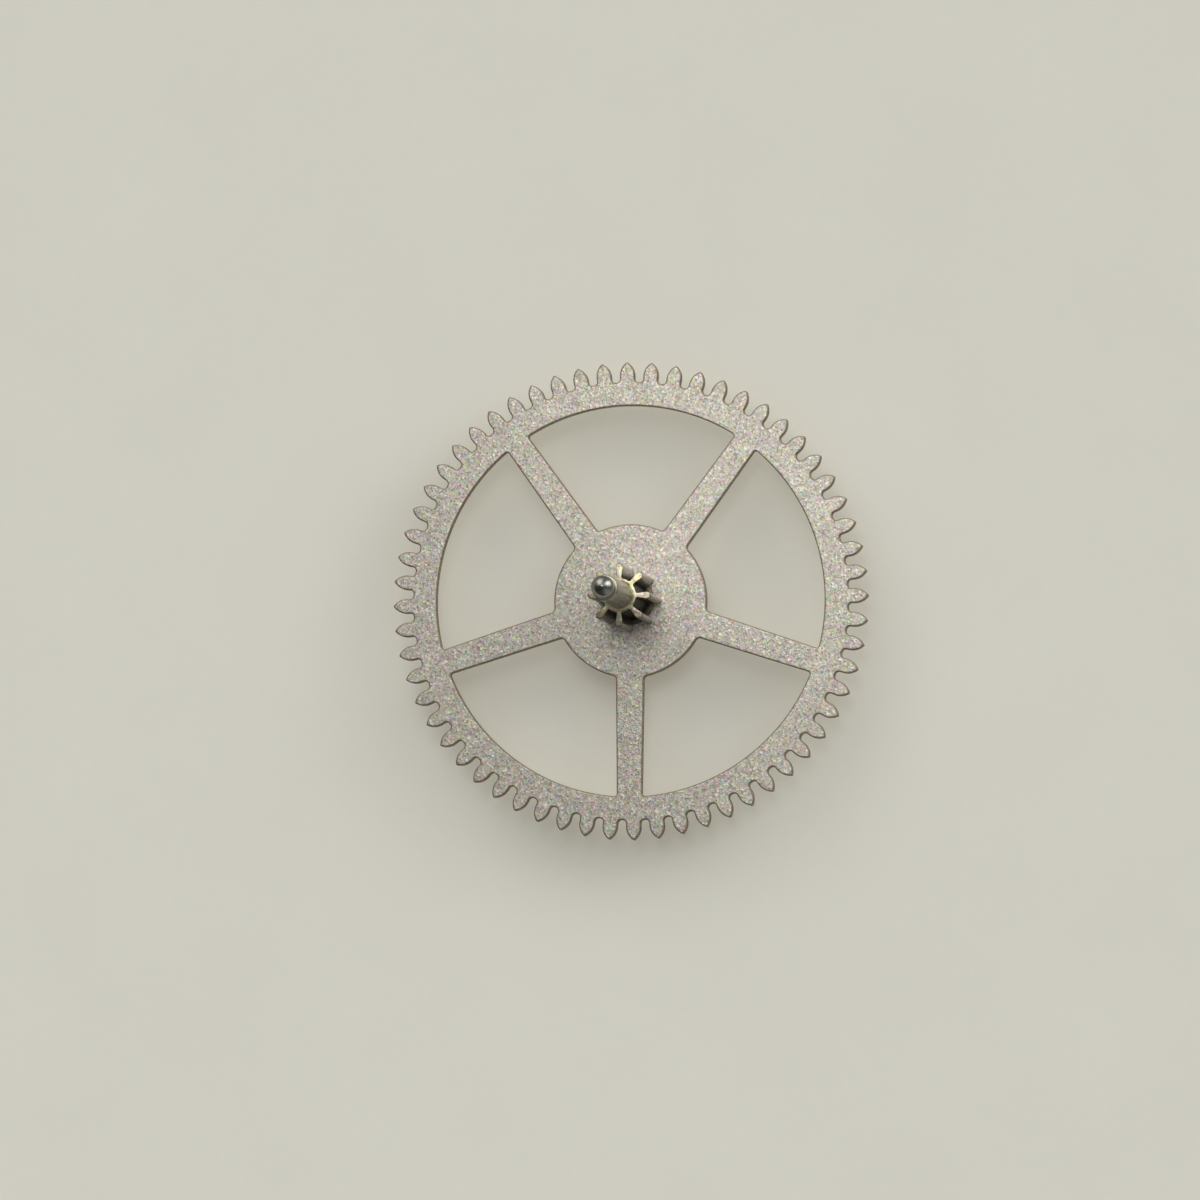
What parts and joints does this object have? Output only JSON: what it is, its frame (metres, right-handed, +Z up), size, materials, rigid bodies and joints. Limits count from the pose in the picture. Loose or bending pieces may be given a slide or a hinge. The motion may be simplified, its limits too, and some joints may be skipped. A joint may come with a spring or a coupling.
{
  "type": "watch third wheel",
  "caption": "Spoked watch wheel with pointed cycloidal teeth, riveted on a steel leaf pinion that is one piece with its arbor and two domed pivots.",
  "frame": {"origin": "lowest point of the lower pivot, on the arbor's axis", "axes": "+Z up along the arbor towards the long upper pivot, one spoke of the wheel along -Y"},
  "size_m": [0.0064, 0.0064, 0.0033],
  "materials": {
    "wheel": "frosted and nickel-plated",
    "pinion": "polished"
  },
  "bodies": {
    "root": {"spoked_wheel": "wheel", "pinion_arbor": "pinion"}
  },
  "joints": []
}
